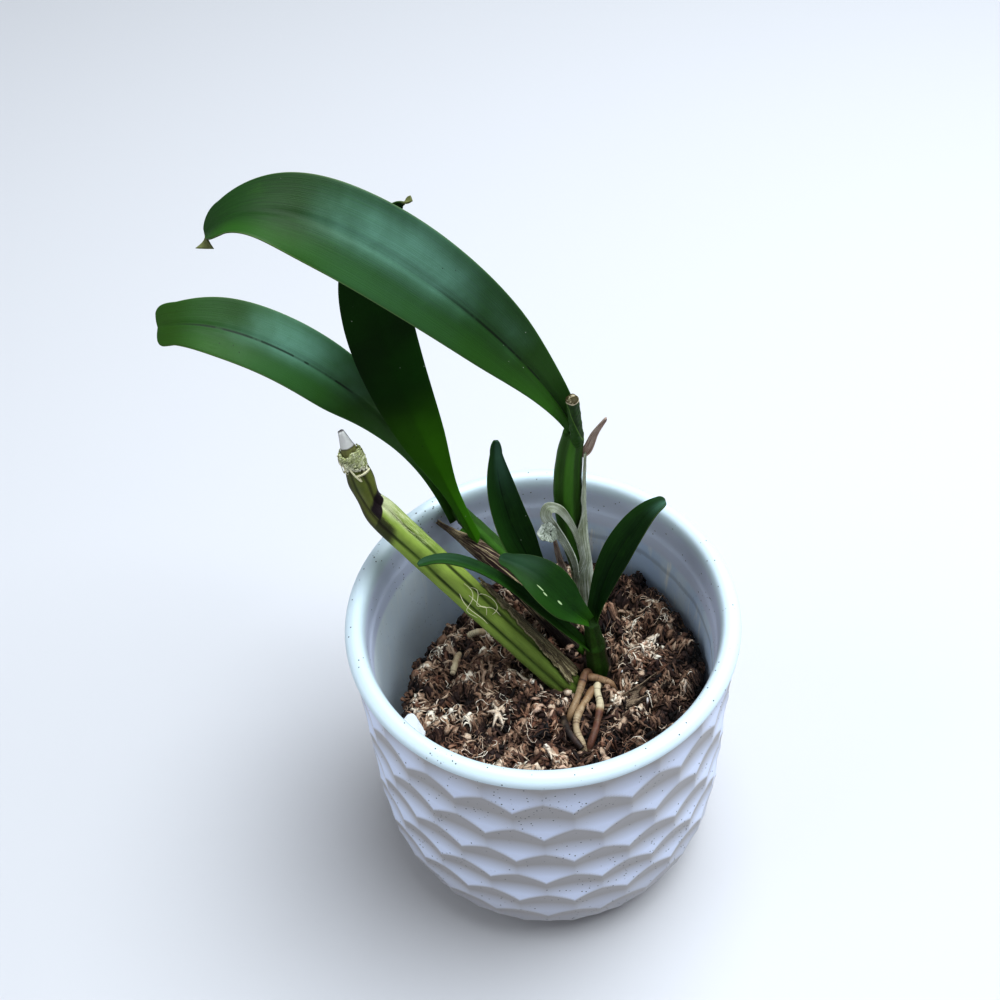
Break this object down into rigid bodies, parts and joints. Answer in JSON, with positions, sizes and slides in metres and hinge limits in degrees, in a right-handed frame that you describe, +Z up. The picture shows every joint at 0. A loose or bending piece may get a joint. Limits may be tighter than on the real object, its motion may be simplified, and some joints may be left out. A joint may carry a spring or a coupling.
{
  "type": "potted orchid",
  "caption": "Young orchid with ribbed leaning pseudobulbs, strap leaves and a leafy new growth, in a round white cover pot with honeycomb scoops and a bark and moss medium.",
  "frame": {"origin": "centre of the pot's flat foot, on the surface that it stands on", "axes": "+Z up, +X to the right and -Y to the front as the picture sees the plant"},
  "size_m": [0.1913, 0.14, 0.2925],
  "materials": {
    "pot": "smooth, slightly matt, pale blue-white with fine dark specks",
    "medium": "loose dry mix of moss, coir and bark chips",
    "bark": "dark hollow bark with pale edges",
    "label": "plain white",
    "root": "smooth tan root skin",
    "cane": "waxy yellow-green with deep furrows",
    "stem": "waxy green",
    "leaf": "stiff glossy dark green",
    "dry_brown": "dry fibrous skin, brown with cream stripes",
    "dry_silver": "dry papery skin, silvery with brown stripes"
  },
  "bodies": {
    "root": {"pot": "pot", "growing_medium": "medium", "bark_curl": "bark", "plant_label": "label", "rhizome_roots": "root", "cane_a": "cane", "cane_b": "stem", "cane_c": "stem", "stem_d": "stem", "cut_stub_c": "stem", "leaf_c1": "leaf", "leaf_b1": "leaf", "leaf_b2": "leaf", "leaf_d1": "leaf", "leaf_d2": "leaf", "leaf_d3": "leaf", "leaf_d4": "leaf", "sheath_a": "dry_brown", "sheath_b": "dry_brown", "collar_a": "dry_silver", "sheath_c": "dry_silver", "curled_sheath_c": "dry_silver", "brown_strip_c": "dry_brown", "bract_c": "dry_brown"}
  },
  "joints": []
}
